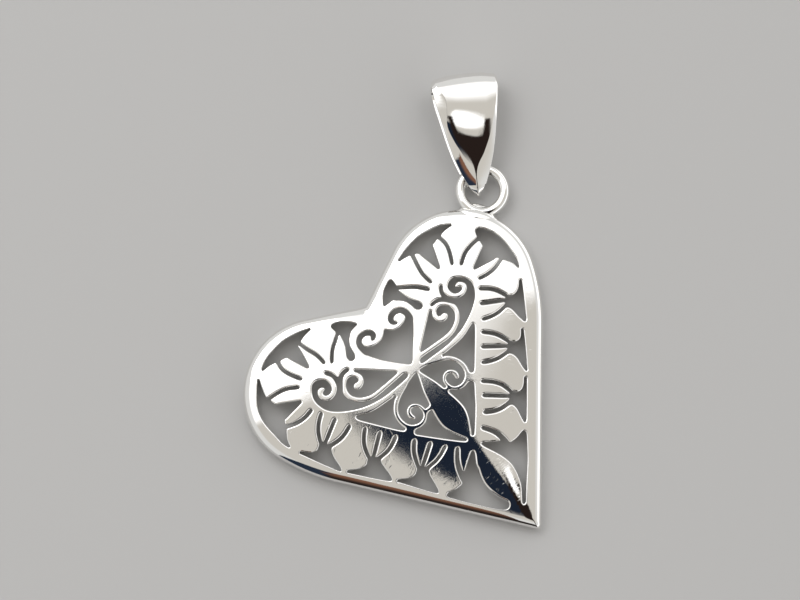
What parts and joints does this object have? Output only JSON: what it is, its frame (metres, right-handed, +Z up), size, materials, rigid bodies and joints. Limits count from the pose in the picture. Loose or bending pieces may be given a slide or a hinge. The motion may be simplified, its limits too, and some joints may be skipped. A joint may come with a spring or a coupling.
{
  "type": "heart pendant with jump ring and folded bail",
  "caption": "Openwork metal heart pendant with sawn leaf and scroll ornament, a soldered jump ring and a folded tapered bail for a chain.",
  "frame": {"origin": "middle of the whole pendant's box, on the surface that it lies on", "axes": "+Z straight up out of the lying pendant's front, +Y along its longest reach, from the heart's point towards the bail's fold"},
  "size_m": [0.03, 0.0458, 0.0042],
  "materials": {
    "polished_silver": "hand-polished silver with fine scratches",
    "bail_silver": "mirror-polished silver"
  },
  "bodies": {
    "root": {"heart": "polished_silver", "bail": "bail_silver"}
  },
  "joints": []
}
